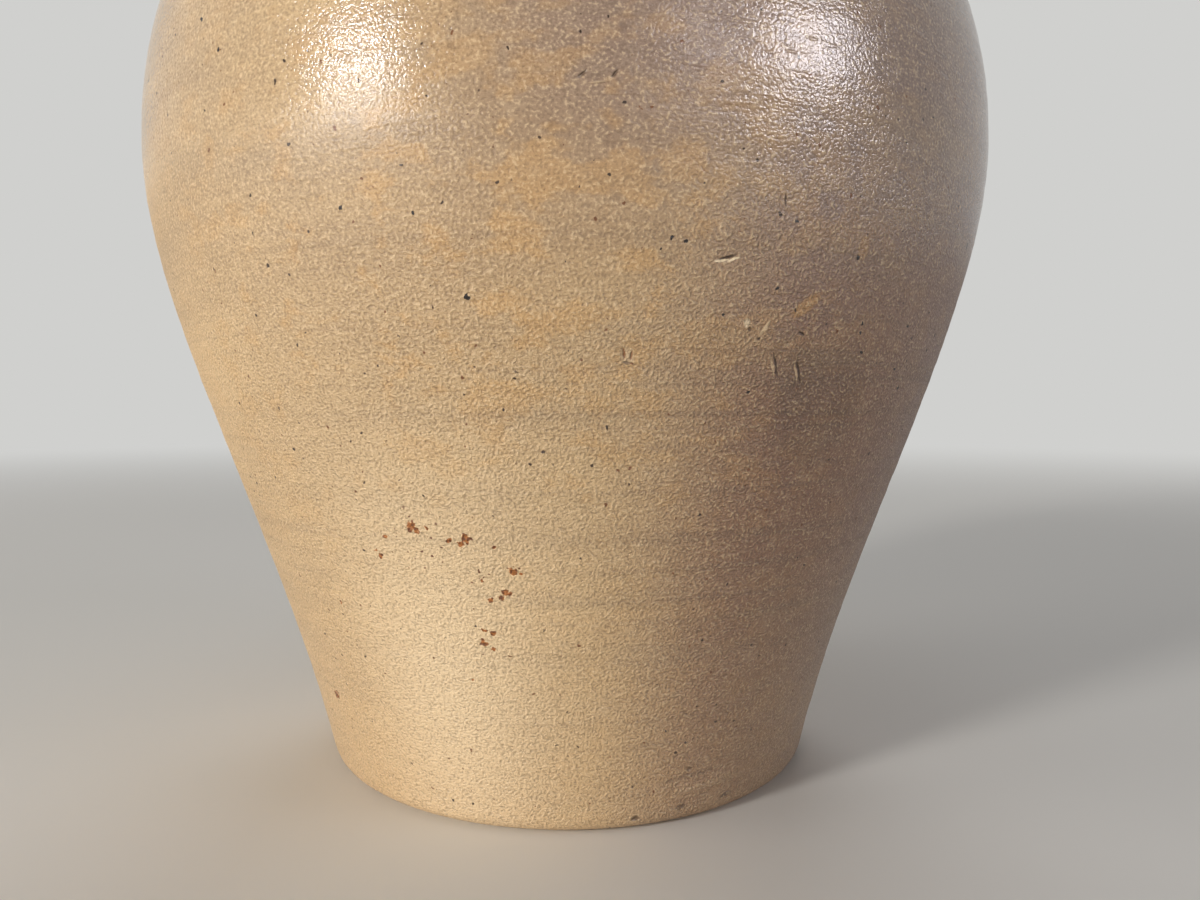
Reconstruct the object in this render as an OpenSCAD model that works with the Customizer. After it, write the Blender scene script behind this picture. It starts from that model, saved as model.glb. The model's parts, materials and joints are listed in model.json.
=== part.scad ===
// Salt-glazed stoneware jar with a metal-mounted hinged lid, in millimetres.
// The origin is the centre of the flat base. +Z is up, the front faces -Y,
// the hinge is at the back (+Y) and the two lug handles are at the sides (X).

/* [Jar body] */
// Diameter of the flat that the jar stands on
base_d = 130; // [115:1:140]
// Radius of the rounded foot edge
foot_round = 5; // [3:0.5:7]
// Lean of the wall just above the foot, in degrees from upright
foot_lean = 12.5; // [8:0.5:16]
// How far the lean of the foot carries up the wall
foot_reach = 62; // [45:1:75]
// Height of the widest part above the table
belly_z = 165; // [150:1:180]
// Diameter at the widest part
belly_d = 230; // [210:1:250]
// How far the upright stretch carries below the widest part
belly_below = 41; // [30:1:55]
// How far the upright stretch carries above the widest part
belly_above = 38; // [28:1:48]
// Height of the shoulder, from the widest part to the neck
shoulder_h = 87; // [78:1:98]
// Lean of the shoulder where it meets the neck, in degrees from upright
shoulder_lean = 58; // [48:1:64]
// How far the lean of the shoulder carries down from the neck
shoulder_reach = 30; // [20:1:40]
// Radius of the hollow where the shoulder runs into the neck
neck_cove = 10; // [6:1:14]
// Outside diameter of the neck
neck_d = 136; // [124:1:148]
// Height of the straight neck
neck_h = 14; // [13:0.5:20]
// How far the rolled rim stands out from the neck
rim_out = 7; // [5:0.5:9]
// Height of the rolled rim
rim_h = 14; // [11:0.5:20]
// Radius of the rounded edges of the rim
rim_round = 4; // [2:0.5:5]
// Thickness of the stoneware wall
wall = 8; // [6:0.5:10]
// Thickness of the floor
floor_t = 10; // [7:0.5:14]
// Radius of the corner inside, between floor and wall
floor_round = 16; // [8:1:24]

/* [Lug handles] */
// Height of the handle roots above the widest part
handle_up = 58; // [50:1:62]
// Distance between the two roots of one handle
handle_span = 64; // [54:1:72]
// Thickness of the rolled clay of a handle
handle_t = 17; // [14:0.5:20]
// Tilt of a handle's loop above level, in degrees
handle_tilt = 42; // [30:1:50]
// Diameter of the flare pressed on to the shoulder at each root
handle_pad_d = 25; // [22:0.5:28]

/* [Neck band] */
// Height of the band
band_h = 11; // [9:0.5:12]
// Thickness of the band
band_t = 1.6; // [1.2:0.1:2.2]
// Width of the split at the front of the band
band_split = 6; // [3:0.5:10]
// Thickness of the two clamping ears
ear_t = 2.4; // [1.8:0.1:3.2]
// How far the ears stand out from the band
ear_out = 11; // [10:0.5:15]
// Diameter of the clamping screw
screw_d = 4; // [3:0.5:4.5]
// Diameter of the screw's head
screw_head_d = 7.6; // [6.5:0.1:8.4]
// Height of the screw's head
screw_head_h = 2.8; // [2:0.1:4]
// Width of the slot in the screw's head
screw_slot_w = 1; // [0.6:0.1:1.4]
// Depth of the slot in the screw's head
screw_slot_deep = 1.2; // [0.6:0.1:1.6]
// Width across the flats of the square nut
nut_w = 7; // [6.5:0.1:8]
// Thickness of the nut
nut_h = 3.2; // [2:0.1:5]
// Length of thread that shows past the nut
screw_past_nut = 1.5; // [0.5:0.1:4]

/* [Hinge] */
// Diameter of the hinge pin
pin_d = 5; // [4:0.1:6]
// Outside diameter of the knuckles
knuckle_d = 10; // [9:0.1:12]
// Width of one knuckle
knuckle_w = 7; // [5:0.5:9]
// Number of knuckles, shared out in turn between bracket and strap
knuckle_count = 5; // [5, 7]
// Diameter of the peened ends of the pin
pin_head_d = 7.6; // [6.6:0.1:8.6]
// Thickness of the peened ends of the pin
pin_head_h = 1.4; // [1:0.1:2.5]
// How far the lid opens, in degrees
lid_open = 105; // [95:1:110]
// Turn left between the open lid and its stop, in degrees
stop_turn = 4; // [3:0.5:8]
// How far the stop reaches out from the hinge axis
stop_reach = 8.6; // [7.5:0.1:11]
// Thickness of the bracket's foot against the band
bracket_t = 2.6; // [2:0.1:3.5]
// Half the angle that the bracket's foot covers round the neck
bracket_half = 25; // [23:1:32]
// Angle of the bracket's rivets from its middle
bracket_rivet_at = 20; // [19:0.5:21]
// Diameter of the rivets
rivet_d = 3.2; // [2.4:0.1:3.4]
// Diameter of the rivet heads
rivet_head_d = 6; // [5:0.1:6.5]
// Height of the rivet heads
rivet_head_h = 1.6; // [1:0.1:2.2]
// Thickness of the strap on the lid
strap_t = 2.6; // [2:0.1:4]
// Half the angle that the strap covers on the lid ring
strap_half = 16; // [15:1:20]
// Angle of the strap's rivets from its middle
strap_rivet_at = 12.5; // [12:0.5:13]
// Diameter of the shank of the strap's rivets
strap_rivet_d = 2.2; // [1.8:0.1:2.6]

/* [Thumb lift] */
// Thickness of the thumb lift
lift_t = 4; // [3:0.1:5]
// Width of the thumb lift at its root
lift_root_w = 9; // [7:0.5:12]
// Diameter of the three lobes of the thumb lift
lift_lobe_d = 9; // [7:0.5:11]
// Height of the middle of the thumb lift's crown
lift_h = 15; // [12:0.5:20]

/* [Lid] */
// How far the lid ring stands out past the rim
ring_out = 4; // [3:0.5:6]
// Thickness of the wall of the lid ring, outside the stoneware
ring_wall = 4; // [3.5:0.1:5]
// Thickness of the ledge that the stoneware lies on
ledge_t = 2; // [1.5:0.1:3]
// How far the ledge starts outside the mouth
ledge_back = 2; // [1:0.5:4]
// Thickness of the lip burnished over the stoneware
lip_t = 1.8; // [1.2:0.1:2.5]
// How far the lip reaches over the stoneware
lip_w = 3.6; // [2.5:0.1:4.5]
// Thickness of the stoneware at its edge
dome_edge_t = 5; // [4:0.5:7]
// Rise of the stoneware dome above its edge
dome_rise = 22; // [16:0.5:30]
// Thickness of the stoneware dome
dome_t = 6; // [4.5:0.5:8]
// Clearance between the lid's flange and the mouth
flange_gap = 4; // [3:0.5:6]
// Thickness of the flange
flange_t = 6; // [4:0.5:8]
// How far the flange hangs below the lid ring
flange_drop = 9; // [5:0.5:14]
// Thickness of the cork seal
seal_t = 2; // [1.5:0.1:4]
// Width of the cork seal
seal_w = 8; // [5:0.5:8.5]
// Diameter of the knob's flattened ball
knob_d = 34; // [28:0.5:40]
// Height of the knob's flattened ball
knob_h = 22; // [17:0.5:30]
// Diameter of the knob's foot on the dome
knob_foot_d = 26; // [23:0.5:32]
// Diameter of the knob's waist
knob_waist_d = 19; // [15:0.5:22]
// Height of the knob's waist above the dome
knob_waist_h = 6; // [4:0.5:9]

/* [Clearances] */
// Clearance between pieces that are fixed to each other
fit_gap = 0.1; // [0.05:0.05:0.2]
// Radial clearance of the pin and of the rivets and screw in their holes
run_gap = 0.06; // [0.02:0.01:0.1]
// Clearance between neighbouring knuckles
side_gap = 0.4; // [0.3:0.05:0.8]
// Clearance round the knuckles to whatever turns past them
turn_gap = 0.6; // [0.4:0.05:1]
// Clearance between the closed lid's seal and the rim
seat_gap = 0.3; // [0.2:0.05:0.5]
// Clearance between the hinge bracket and the rim
arm_gap = 1.5; // [1:0.1:3]
// Clearance between the lid ring and the bracket's knuckles
ring_gap = 3.5; // [2.5:0.1:5]

/* [Hidden] */
$fn = 96;

// Colours
glaze = [0.66, 0.57, 0.45];
pewter = [0.52, 0.52, 0.50];
brass = [0.66, 0.52, 0.28];
cork = [0.62, 0.45, 0.28];

// Counts of straight steps on the round stretches of an outline
wall_steps = 24;
arc_steps = 6;
dome_steps = 16;

// Heights and radii of the jar
base_r = base_d / 2;
belly_r = belly_d / 2;
neck_r = neck_d / 2;
mouth_r = neck_r - wall;
neck_z = belly_z + shoulder_h;
rim_z = neck_z + neck_h;
rim_top = rim_z + rim_h;
rim_r = neck_r + rim_out;
mouth_round = min(rim_round, wall / 2);

// Points and directions on the jar's outline, as [radius, height]
function lean(angle) = [sin(angle), cos(angle)];
function arc(centre, radius, from, to) =
    [for (i = [0 : arc_steps]) let (a = from + (to - from) * i / arc_steps)
        centre + radius * [cos(a), sin(a)]];
function bezier(p, t) =
    pow(1 - t, 3) * p[0] + 3 * pow(1 - t, 2) * t * p[1]
    + 3 * (1 - t) * t * t * p[2] + pow(t, 3) * p[3];
function heading(p, t) =
    let (d = pow(1 - t, 2) * (p[1] - p[0]) + 2 * (1 - t) * t * (p[2] - p[1]) + t * t * (p[3] - p[2]))
    d / norm(d);
function inset(p, t, depth) = let (d = heading(p, t)) bezier(p, t) + depth * [-d.y, d.x];

foot_c = [base_r, foot_round];
foot_end = foot_c + foot_round * [cos(foot_lean), -sin(foot_lean)];
belly = [belly_r, belly_z];
lower = [foot_end, foot_end + foot_reach * lean(foot_lean), belly - [0, belly_below], belly];
cove_c = [neck_r + neck_cove, neck_z];
cove_start = cove_c - neck_cove * [cos(shoulder_lean), sin(shoulder_lean)];
upper = [belly, belly + [0, belly_above],
         cove_start + shoulder_reach * [sin(shoulder_lean), -cos(shoulder_lean)], cove_start];

function side_of(depth) = concat(
    [for (i = [0 : wall_steps]) inset(lower, i / wall_steps, depth)],
    [for (i = [1 : wall_steps - 1]) inset(upper, i / wall_steps, depth)],
    arc(cove_c, neck_cove + depth, 180 + shoulder_lean, 180));

outer_side = side_of(0);
inner_side = [for (p = side_of(wall)) if (p.y > floor_t + floor_round) p];
floor_r = inner_side[0].x;
outer_by_height = [for (p = outer_side) [p.y, p.x]];

// The outside of the jar, from the middle of the base up to the underside of the rim
outside = concat([[0, 0]], arc(foot_c, foot_round, -90, -foot_lean),
                 [for (i = [1 : len(outer_side) - 1]) outer_side[i]], [[neck_r, rim_z]]);
rim_line = concat(
    arc([rim_r - rim_round, rim_z + rim_round], rim_round, -90, 0),
    arc([rim_r - rim_round, rim_top - rim_round], rim_round, 0, 90),
    arc([mouth_r + mouth_round, rim_top - mouth_round], mouth_round, 90, 180));
inside = concat(
    [for (i = [len(inner_side) - 1 : -1 : 0]) inner_side[i]],
    arc([floor_r - floor_round, floor_t + floor_round], floor_round, 0, -90),
    [[0, floor_t]]);

// Lug handles
handle_z = belly_z + handle_up;
handle_x = lookup(handle_z, outer_by_height);
handle_r = handle_span / 2;
handle_sweep = 115;
flare_at = 76;
flare_l = handle_span / 3 + 2;
flare_start = 1;

// Neck band and its screw
band_in = neck_r + fit_gap;
band_out = band_in + band_t;
band_z = neck_z + (neck_h - band_h) / 2;
band_top = band_z + band_h;
band_mid = band_z + band_h / 2;
ear_x = band_split / 2;
ear_end = ear_x + ear_t;
ear_y = band_out + ear_out;
screw_y = band_out + ear_out / 2;
screw_r = screw_d / 2;
screw_end = ear_end + nut_h + screw_past_nut;

// Lid, from the rim upwards
ring_r = rim_r + ring_out;
ring_z = rim_top + seat_gap + seal_t;
dome_r = ring_r - ring_wall - fit_gap;
dome_z = ring_z + ledge_t;
lip_z = dome_z + dome_edge_t + fit_gap;
ring_top = lip_z + lip_t;
lip_r = dome_r - lip_w;
ledge_r = mouth_r + ledge_back;
seal_mid = (mouth_r + mouth_round + rim_r - rim_round) / 2;
crown_r = lip_r - fit_gap;
crown_z = dome_z + dome_edge_t;
crown_R = (crown_r * crown_r + dome_rise * dome_rise) / (2 * dome_rise);
crown_c = crown_z + dome_rise - crown_R;
flange_r = mouth_r - flange_gap;
flange_in = flange_r - flange_t;
knob_foot_r = knob_foot_d / 2;
knob_r = knob_d / 2;
knob_waist_r = knob_waist_d / 2;
knob_z = crown_at(knob_foot_r, crown_R);
knob_waist_angle = -acos(knob_waist_r / knob_r);
knob_c = knob_z + knob_waist_h - knob_h / 2 * sin(knob_waist_angle);
function crown_at(r, R) = crown_c + sqrt(R * R - r * r);
function crown_line(from, to, R) =
    [for (i = [0 : dome_steps]) let (r = from + (to - from) * i / dome_steps) [r, crown_at(r, R)]];

// Hinge
pin_r = pin_d / 2;
bore_r = pin_r + run_gap;
knuckle_r = knuckle_d / 2;
hinge_y = ring_r + ring_gap + knuckle_r;
hinge_z = ring_top - knuckle_r;
knuckle_step = knuckle_w + side_gap;
hinge_w = knuckle_count * knuckle_step - side_gap;
stop_angle = 90 - lid_open - stop_turn;
bracket_in = band_out;
bracket_out = bracket_in + bracket_t;
arm_y = rim_r + arm_gap;
rivet_r = rivet_d / 2;
strap_top = ring_top + strap_t;
strap_rivet_y = ring_r - ring_wall / 2;
strap_rivet_r = strap_rivet_d / 2;

// Solids that several pieces share

module jar_outside() {
    rotate_extrude() polygon(concat(outside, [[0, rim_z]]));
}

// A curved plate round the Z axis, centred on +Y
module round_plate(from, to, half, z, height) {
    rotate([0, 0, 90 - half])
        rotate_extrude(angle = 2 * half)
            translate([from, z]) square([to - from, height]);
}

// A bar along X through the hinge axis
module hinge_bar(radius, from, width) {
    translate([from, hinge_y, hinge_z]) rotate([0, 90, 0]) cylinder(r = radius, h = width);
}

function knuckle_x(i) = -hinge_w / 2 + i * knuckle_step;

// The width from one knuckle's side clearance to the other
module knuckle_room(i) {
    hinge_bar(knuckle_r + turn_gap, knuckle_x(i) - side_gap, knuckle_w + 2 * side_gap);
}

// A rivet along +X from the origin, its round head beyond the length given
module rivet(radius, length, head_r, head_h) {
    ball_r = (head_r * head_r + head_h * head_h) / (2 * head_h);
    rotate([0, 90, 0]) {
        cylinder(r = radius, h = length);
        intersection() {
            translate([0, 0, length + head_h - ball_r]) sphere(ball_r);
            translate([0, 0, length]) cylinder(r = head_r, h = head_h);
        }
    }
}

// Pieces of the jar

module jar_body() {
    color(glaze) rotate_extrude() polygon(concat(outside, rim_line, inside));
}

module handle() {
    difference() {
        translate([handle_x, 0, handle_z]) rotate([0, -handle_tilt, 0]) {
            rotate([0, 0, -handle_sweep])
                rotate_extrude(angle = 2 * handle_sweep)
                    translate([handle_r, 0]) circle(d = handle_t);
            for (side = [0, 1]) mirror([0, side, 0]) {
                rotate([0, 0, flare_at]) translate([handle_r, 0, 0]) rotate([-90, 0, 0])
                    cylinder(d1 = handle_t - flare_start, d2 = handle_pad_d, h = flare_l);
            }
        }
        jar_outside();
    }
}

module handle_left() {
    color(glaze) mirror([1, 0, 0]) handle();
}

module handle_right() {
    color(glaze) handle();
}

module neck_band() {
    color(pewter) difference() {
        union() {
            difference() {
                translate([0, 0, band_z]) cylinder(r = band_out, h = band_h);
                translate([-ear_x, -band_out - ear_out, band_z]) cube([band_split, band_out + ear_out, band_h]);
            }
            for (x = [-ear_end, ear_x]) {
                translate([x, -ear_y, band_z]) cube([ear_t, ear_y - neck_r / 2, band_h]);
            }
        }
        translate([0, 0, band_z]) cylinder(r = band_in, h = band_h);
        translate([-ear_end, -screw_y, band_mid]) rotate([0, 90, 0])
            cylinder(r = screw_r + run_gap, h = 2 * ear_end);
        for (side = [-1, 1]) {
            rotate([0, 0, 90 + side * bracket_rivet_at]) translate([0, 0, band_mid]) rotate([0, 90, 0])
                cylinder(r = rivet_r + run_gap, h = ear_y);
        }
    }
}

module band_screw() {
    head_x = -ear_end - screw_head_h;
    color(brass) translate([0, -screw_y, band_mid]) difference() {
        rotate([0, 90, 0]) {
            translate([0, 0, -ear_end]) cylinder(r = screw_r, h = ear_end + screw_end);
            translate([0, 0, head_x]) cylinder(d = screw_head_d, h = screw_head_h);
        }
        translate([head_x, -screw_slot_w / 2, -screw_head_d / 2])
            cube([screw_slot_deep, screw_slot_w, screw_head_d]);
    }
}

module band_nut() {
    color(brass) translate([ear_end, -screw_y, band_mid]) difference() {
        translate([0, -nut_w / 2, -nut_w / 2]) cube([nut_h, nut_w, nut_w]);
        rotate([0, 90, 0]) cylinder(r = screw_r + run_gap, h = nut_h);
    }
}

// Side view of the arm that carries the hinge, as [y, z]
arm_side = [[neck_r / 2, band_z], [bracket_out + bracket_t, band_z],
            [hinge_y, (band_z + rim_z + rim_h) / 2],
            [hinge_y, hinge_z] + stop_reach * [cos(stop_angle), sin(stop_angle)],
            [hinge_y, hinge_z], [hinge_y - knuckle_r, hinge_z],
            [arm_y, rim_z + rim_round], [arm_y, band_top], [neck_r / 2, band_top]];

module hinge_bracket() {
    color(pewter) difference() {
        union() {
            difference() {
                translate([-hinge_w / 2, 0, 0]) rotate([90, 0, 90])
                    linear_extrude(height = hinge_w) polygon(arm_side);
                for (i = [1 : 2 : knuckle_count - 1]) knuckle_room(i);
            }
            for (i = [0 : 2 : knuckle_count - 1]) hinge_bar(knuckle_r, knuckle_x(i), knuckle_w);
            round_plate(bracket_in, bracket_out, bracket_half, band_z, band_h);
        }
        translate([0, 0, band_z]) cylinder(r = bracket_in, h = band_h);
        hinge_bar(bore_r, -hinge_w / 2, hinge_w);
        for (side = [-1, 1]) {
            rotate([0, 0, 90 + side * bracket_rivet_at]) translate([0, 0, band_mid]) rotate([0, 90, 0])
                cylinder(r = rivet_r + run_gap, h = bracket_out);
        }
    }
}

module bracket_rivets() {
    color(brass) for (side = [-1, 1]) {
        rotate([0, 0, 90 + side * bracket_rivet_at]) translate([band_in, 0, band_mid])
            rivet(rivet_r, bracket_out - band_in, rivet_head_d / 2, rivet_head_h);
    }
}

module hinge_pin() {
    color(brass) {
        hinge_bar(pin_r, -hinge_w / 2, hinge_w);
        hinge_bar(pin_head_d / 2, -hinge_w / 2 - pin_head_h, pin_head_h);
        hinge_bar(pin_head_d / 2, hinge_w / 2, pin_head_h);
    }
}

// Pieces of the lid

module lid_dome() {
    hollow_R = crown_R - dome_t;
    under = ring_z - flange_drop;
    color(glaze) rotate_extrude() polygon(concat(
        [[0, knob_z]], crown_line(knob_foot_r, crown_r, crown_R),
        [[dome_r, crown_z], [dome_r, dome_z], [flange_r, dome_z], [flange_r, under], [flange_in, under]],
        crown_line(flange_in, 0, hollow_R)));
}

module lid_knob() {
    waist_z = knob_z + knob_waist_h;
    flare = [[knob_foot_r, knob_z], [knob_waist_r, knob_z + knob_waist_h / 3],
             [knob_waist_r, knob_z + knob_waist_h / 2], [knob_waist_r, waist_z]];
    color(glaze) rotate_extrude() polygon(concat(
        [[0, knob_z]], [for (i = [0 : arc_steps]) bezier(flare, i / arc_steps)],
        [for (i = [1 : dome_steps - 1])
            let (a = knob_waist_angle + (90 - knob_waist_angle) * i / dome_steps)
            [knob_r * cos(a), knob_c + knob_h / 2 * sin(a)]],
        [[0, knob_c + knob_h / 2]]));
}

module lid_ring() {
    edge = lip_t / 2;
    color(pewter) difference() {
        rotate_extrude() polygon([
            [ledge_r, ring_z], [ring_r - edge, ring_z], [ring_r, ring_z + edge], [ring_r, ring_top - edge],
            [ring_r - edge, ring_top], [lip_r, ring_top], [lip_r, lip_z],
            [dome_r + fit_gap, lip_z], [dome_r + fit_gap, dome_z], [ledge_r, dome_z]]);
        for (side = [-1, 1]) {
            rotate([0, 0, 90 + side * strap_rivet_at]) translate([strap_rivet_y, 0, ring_z])
                cylinder(r = strap_rivet_r + run_gap, h = ring_top - ring_z);
        }
    }
}

module lid_seal() {
    color(cork) rotate_extrude()
        translate([seal_mid - seal_w / 2, ring_z - seal_t]) square([seal_w, seal_t]);
}

module lid_strap() {
    color(pewter) difference() {
        union() {
            round_plate(lip_r, ring_r, strap_half, ring_top, strap_t);
            difference() {
                translate([-hinge_w / 2, strap_rivet_y, ring_top])
                    cube([hinge_w, hinge_y - strap_rivet_y, strap_t]);
                for (i = [0 : 2 : knuckle_count - 1]) knuckle_room(i);
            }
            for (i = [1 : 2 : knuckle_count - 1]) {
                hinge_bar(knuckle_r, knuckle_x(i), knuckle_w);
                translate([knuckle_x(i), hinge_y - knuckle_r, hinge_z]) cube([knuckle_w, knuckle_r, knuckle_r]);
            }
        }
        hinge_bar(bore_r, -hinge_w / 2, hinge_w);
        for (side = [-1, 1]) {
            rotate([0, 0, 90 + side * strap_rivet_at]) translate([strap_rivet_y, 0, ring_top])
                cylinder(r = strap_rivet_r + run_gap, h = strap_t);
        }
    }
}

module strap_rivets() {
    color(brass) for (side = [-1, 1]) {
        rotate([0, 0, 90 + side * strap_rivet_at]) translate([strap_rivet_y, 0, ring_z]) rotate([0, -90, 0])
            rivet(strap_rivet_r, strap_top - ring_z, 2 * strap_rivet_r, strap_rivet_r);
    }
}

// A trefoil on a short stem, standing across the strap
module thumb_lift() {
    lobe_r = lift_lobe_d / 2;
    color(pewter) translate([0, strap_rivet_y + lift_t / 2, strap_top]) rotate([90, 0, 0])
        linear_extrude(height = lift_t) {
            translate([-lift_root_w / 2, 0]) square([lift_root_w, lift_h - lobe_r]);
            for (at = [[-lobe_r, lift_h - lobe_r], [lobe_r, lift_h - lobe_r], [0, lift_h]]) {
                translate(at) circle(r = lobe_r);
            }
        }
}

jar_body();
handle_left();
handle_right();
neck_band();
band_screw();
band_nut();
hinge_bracket();
bracket_rivets();
hinge_pin();
lid_dome();
lid_knob();
lid_ring();
lid_seal();
lid_strap();
strap_rivets();
thumb_lift();
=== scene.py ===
# %% [markdown]
# # A salt-glazed stoneware jar with a hinged lid
#
# The jar was thrown on a wheel from grey stoneware clay and glazed by salt vapour in the kiln, which
# leaves a glassy skin pitted like orange peel. A pewter band on the neck carries the hinge of a domed
# lid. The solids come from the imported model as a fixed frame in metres. They could be shown as they
# are, with new finishes, but clay is never that true and metal never that sharp. So the clay pieces
# are remade here as slightly uneven thrown forms, and the metal gets soft edges.

# %% Load the frame
import json
import math
from collections import namedtuple
from functools import partialmethod
from types import SimpleNamespace

import bmesh
import bpy
import numpy as np
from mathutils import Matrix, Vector


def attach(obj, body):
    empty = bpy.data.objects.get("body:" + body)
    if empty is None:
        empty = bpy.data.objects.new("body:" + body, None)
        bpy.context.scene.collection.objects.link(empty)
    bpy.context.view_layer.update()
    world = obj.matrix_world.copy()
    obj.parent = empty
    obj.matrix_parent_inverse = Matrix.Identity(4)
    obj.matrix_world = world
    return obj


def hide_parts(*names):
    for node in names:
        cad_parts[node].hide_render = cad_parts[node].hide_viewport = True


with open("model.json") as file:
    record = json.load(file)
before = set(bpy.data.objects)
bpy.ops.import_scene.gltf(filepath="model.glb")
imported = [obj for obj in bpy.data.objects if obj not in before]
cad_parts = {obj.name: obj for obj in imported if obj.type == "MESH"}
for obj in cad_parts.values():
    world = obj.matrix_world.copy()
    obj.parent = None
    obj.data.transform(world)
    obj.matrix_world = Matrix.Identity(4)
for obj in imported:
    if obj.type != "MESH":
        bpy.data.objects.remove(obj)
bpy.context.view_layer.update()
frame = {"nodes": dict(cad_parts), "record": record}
scene = bpy.context.scene
scene.view_settings.view_transform = "Standard"
MM = 0.001

# %% [markdown]
# ## Sums made of nodes
#
# Glaze, tarnish and cork change from place to place, and Blender works such changes out in trees of
# nodes, where every sum is a chain of Math nodes. The nodes could be wired one by one, but that hides
# the formula. So a small class wraps a socket and overloads the operators, and a sum in Python adds
# its nodes. One method adds any other node from its type, its socket values and its settings.

# %% Sockets that add up
class Value:
    """An output socket that can be used in sums."""

    def __init__(self, graph, socket):
        self.graph = graph
        self.socket = socket

    def math(self, operation, *others):
        terms = dict(enumerate((self, *others)))
        return self.graph.add("ShaderNodeMath", terms, operation=operation)

    __add__ = __radd__ = partialmethod(math, "ADD")
    __sub__ = partialmethod(math, "SUBTRACT")
    __mul__ = __rmul__ = partialmethod(math, "MULTIPLY")
    __truediv__ = partialmethod(math, "DIVIDE")

    def __rsub__(self, other):
        return self.graph.add("ShaderNodeMath", {0: other, 1: self}, operation="SUBTRACT")

    def __neg__(self):
        return self * -1

    def ramp(self, low, high):
        """0 at low, 1 at high and smooth between; low may be the larger one."""
        limits = {0: self, 1: low, 2: high, 3: 0.0, 4: 1.0}
        return self.graph.add("ShaderNodeMapRange", limits, interpolation_type="SMOOTHSTEP")

    def near(self, middle, reach):
        """1 at the middle, falling smoothly to 0 at the reach on both sides."""
        return (self - middle).math("ABSOLUTE").ramp(reach, 0.0)


# %% Trees that nodes are added to
class Graph:
    """A node tree, for a material or for geometry."""

    def __init__(self, tree):
        self.tree = tree

    def add(self, kind, inputs=None, output=0, **settings):
        node = self.tree.nodes.new(kind)
        for name, value in settings.items():
            setattr(node, name, value)
        for key, value in (inputs or {}).items():
            self.put(node.inputs[key], value)
        return Value(self, node.outputs[output])

    def put(self, socket, value):
        if isinstance(value, Value):
            self.tree.links.new(value.socket, socket)
        else:
            socket.default_value = value

    def split(self, vector):
        node = self.add("ShaderNodeSeparateXYZ", {0: vector}).socket.node
        return [Value(self, node.outputs[i]) for i in range(3)]

    def join(self, x, y, z):
        return self.add("ShaderNodeCombineXYZ", {0: x, 1: y, 2: z})

    def vector(self, operation, a, b):
        return self.add("ShaderNodeVectorMath", {0: a, 1: b}, operation=operation)

    def scaled(self, vector, factor):
        return self.add("ShaderNodeVectorMath", {0: vector, "Scale": factor}, operation="SCALE")

    def length(self, vector):
        return self.add("ShaderNodeVectorMath", {0: vector}, "Value", operation="LENGTH")

    def between(self, share, a, b):
        """Place a turning into place b."""
        return self.add("ShaderNodeMix", {0: share, 4: a, 5: b}, 1, data_type="VECTOR")

    def noise(self, place, scale, detail=2.0, roughness=0.5, stretch=(1, 1, 1), output=0):
        """Noise whose blotches are about 1 / scale metres across, squeezed by stretch."""
        if stretch != (1, 1, 1):
            place = self.vector("MULTIPLY", place, stretch)
        inputs = {"Vector": place, "Scale": scale, "Detail": detail, "Roughness": roughness}
        return self.add("ShaderNodeTexNoise", inputs, output, noise_dimensions="3D")

    def cells(self, place, scale):
        """Cells about 1 / scale metres across: the distance to the middle, two random numbers."""
        inputs = {"Vector": place, "Scale": scale}
        node = self.add("ShaderNodeTexVoronoi", inputs, feature="F1").socket.node
        chance = self.split(Value(self, node.outputs["Color"]))
        return Value(self, node.outputs["Distance"]), chance[0], chance[1]


# %% Trees of finishes
class Finish(Graph):
    """A material with a Principled shader, and what its node tree is built with."""

    def __init__(self, name):
        self.material = bpy.data.materials.new(name)
        self.material.use_nodes = True
        super().__init__(self.material.node_tree)
        self.shader = self.tree.nodes["Principled BSDF"]
        self.place = self.add("ShaderNodeTexCoord", output="Object")

    def mix(self, share, a, b):
        """Colour a turning into colour b."""
        return self.add("ShaderNodeMix", {0: share, 6: a, 7: b}, 2, data_type="RGBA")

    def coated(self, colour, coats):
        """A colour under coats, each a share and a colour, the last on top."""
        for share, coat in coats:
            colour = self.mix(share, colour, coat)
        return colour

    def set(self, **values):
        """Sets the shader's inputs, named with _ for each space."""
        for name, value in values.items():
            self.put(self.shader.inputs[name.replace("_", " ")], value)

    def bump(self, height, distance):
        """A normal tilted by a height field that is given in units of the distance."""
        return self.add("ShaderNodeBump", {"Distance": distance, "Height": height})


def paint(red, green, blue):
    """A colour given in screen values from 0 to 255, as the linear colour that shaders use."""
    screen = np.array([red, green, blue]) / 255
    linear = np.where(screen <= 0.04045, screen / 12.92, ((screen + 0.055) / 1.055) ** 2.4)
    return (*linear.tolist(), 1.0)


print("middle grey on the screen is %.3f in a shader" % paint(128, 128, 128)[0])

# %% [markdown]
# ## The camera
#
# The picture was taken close, with a phone's wide lens, a little above the middle of the jar and
# looking slightly down, so the foot looks much smaller than the belly. A camera could be set by eye.
# Here lens, distance, height and tilt were worked out from the jar's outline and the round of its
# foot, because only the right distance gives that perspective. The frame cuts the jar off above the
# belly, as the photograph does.

# %% Camera
# the picture, the focal length and the column where the jar's axis stands are in pixels
PICTURE = (1200, 900)
FOCAL_PIXELS = 901
AXIS_COLUMN = 568.5
CAMERA_BACK = 274.8 * MM
CAMERA_UP = 103.35 * MM
CAMERA_TILT = math.radians(3.5)
CAMERA_TURN = math.radians(1.0)
SENSOR_WIDTH = 36

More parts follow.
